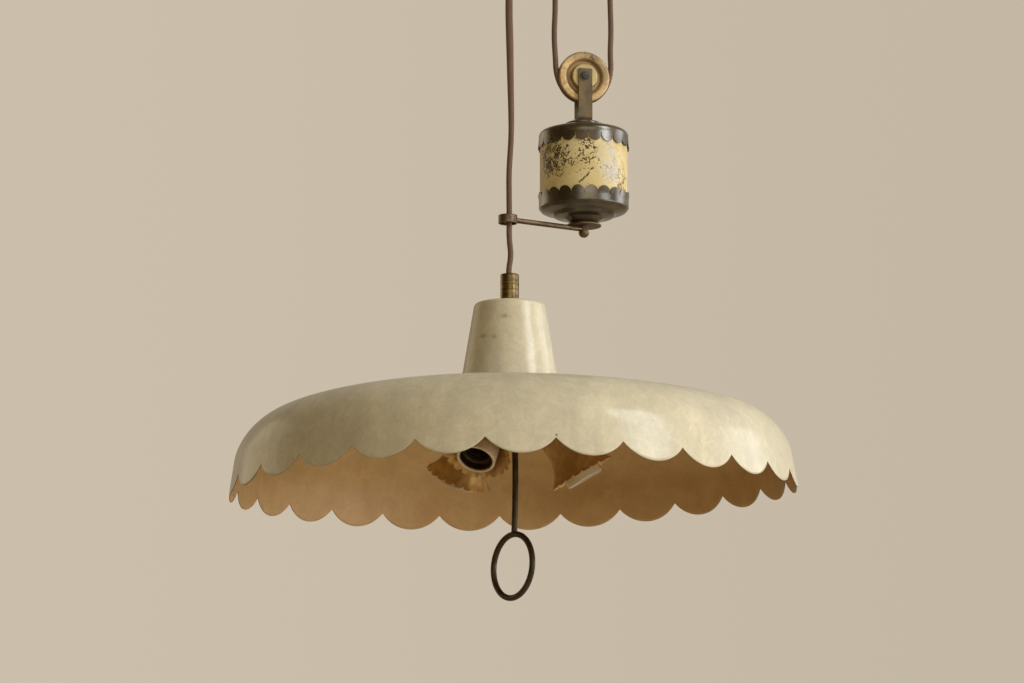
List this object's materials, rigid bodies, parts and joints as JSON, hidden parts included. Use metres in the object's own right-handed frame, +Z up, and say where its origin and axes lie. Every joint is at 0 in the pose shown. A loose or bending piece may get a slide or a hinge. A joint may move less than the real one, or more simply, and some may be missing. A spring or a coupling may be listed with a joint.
{
  "type": "rise and fall pendant lamp",
  "caption": "Pendant lamp with a scalloped dish shade on a cord that turns over a ceiling pulley and carries a counterweight, so the shade rises and falls.",
  "frame": {"origin": "middle of the face that lies against the ceiling", "axes": "+Z up; +X to the right and +Y away from a viewer who faces the lamp with the counterweight on the right"},
  "size_m": [0.5959, 0.5959, 0.8622],
  "materials": {
    "cream_enamel": "satin",
    "flaked_enamel": "satin",
    "dark_bronze": "satin",
    "aged_brass": "satin",
    "ochre_brass": "satin",
    "strap_steel": "satin",
    "dark_steel": "satin",
    "plated_steel": "satin",
    "black_rod": "satin",
    "grey_iron": "matte",
    "porcelain": "gloss",
    "screw_brass": "satin",
    "brown_cord": "matte",
    "lead_rubber": "matte",
    "block_plastic": "matte"
  },
  "bodies": {
    "ceiling": {"ceiling_bar": "plated_steel", "ceiling_canopy": "dark_bronze", "stud_nuts": "plated_steel", "ceiling_hanger": "strap_steel", "ceiling_axle": "dark_steel", "ceiling_axle_nut": "dark_steel", "cord_anchor": "aged_brass", "anchor_screw": "dark_steel", "terminal_block": "block_plastic", "block_screws": "screw_brass", "cord_over_pulley": "brown_cord", "cord_feed": "brown_cord"},
    "ceiling_wheel": {"ceiling_pulley": "ochre_brass"},
    "shade": {"coupler": "aged_brass", "coupler_screw": "dark_steel", "neck_nipple": "screw_brass", "neck_washer": "plated_steel", "neck_nuts": "screw_brass", "shade_neck": "cream_enamel", "shade_dish": "cream_enamel", "cluster_body": "aged_brass", "socket_arm_a": "aged_brass", "socket_arm_b": "aged_brass", "socket_arm_c": "aged_brass", "socket_cup_a": "aged_brass", "socket_cup_b": "aged_brass", "socket_cup_c": "aged_brass", "socket_body_a": "porcelain", "socket_body_b": "porcelain", "socket_body_c": "porcelain", "screw_shell_a": "screw_brass", "screw_shell_b": "screw_brass", "screw_shell_c": "screw_brass", "centre_contact_a": "screw_brass", "centre_contact_b": "screw_brass", "centre_contact_c": "screw_brass", "socket_leads": "lead_rubber", "pull_rod": "black_rod", "pull_ring": "black_rod", "cord_neck_run": "brown_cord", "cord_shade_strand": "brown_cord"},
    "counterweight": {"weight_yoke": "strap_steel", "sheave_axle": "dark_steel", "sheave_axle_nut": "dark_steel", "weight_bolt": "dark_steel", "weight_boss": "dark_bronze", "weight_top_cap": "dark_bronze", "weight_sleeve": "flaked_enamel", "weight_core": "grey_iron", "weight_bottom_cap": "dark_bronze", "washer_disc": "aged_brass", "guide_arm": "aged_brass", "guide_ring": "aged_brass", "ball_finial": "aged_brass", "cord_under_sheave": "brown_cord", "cord_left_strand": "brown_cord", "cord_right_strand": "brown_cord"},
    "counterweight_wheel": {"sheave": "ochre_brass"}
  },
  "joints": [
    {"name": "shade_slide", "type": "slide", "parent": "ceiling", "child": "shade", "axis": [0, 0, 1], "range_m": [-0.256, 0.036], "deforming": ["cord_shade_strand"]},
    {"name": "counterweight_slide", "type": "slide", "parent": "ceiling", "child": "counterweight", "axis": [0, 0, 1], "range_m": [-0.018, 0.128], "deforming": ["cord_left_strand", "cord_right_strand"]},
    {"name": "ceiling_wheel_spin", "type": "hinge", "parent": "ceiling", "child": "ceiling_wheel", "pos_m": [-0.0426, -0.0168, -0.086], "axis": [-0.6405, 0.768, 0], "range_deg": [-453, 65]},
    {"name": "counterweight_wheel_spin", "type": "hinge", "parent": "counterweight", "child": "counterweight_wheel", "pos_m": [0.01247, 0.0104, -0.2867], "axis": [-0.2079, 0.9781, 0], "range_deg": [-40, 279]}
  ],
  "couplings": [
    {"joint": "counterweight_slide", "follows": "shade_slide", "ratio": -0.5},
    {"joint": "ceiling_wheel_spin", "follows": "shade_slide", "rad_per_m": 30.796},
    {"joint": "counterweight_wheel_spin", "follows": "shade_slide", "rad_per_m": -18.939}
  ]
}
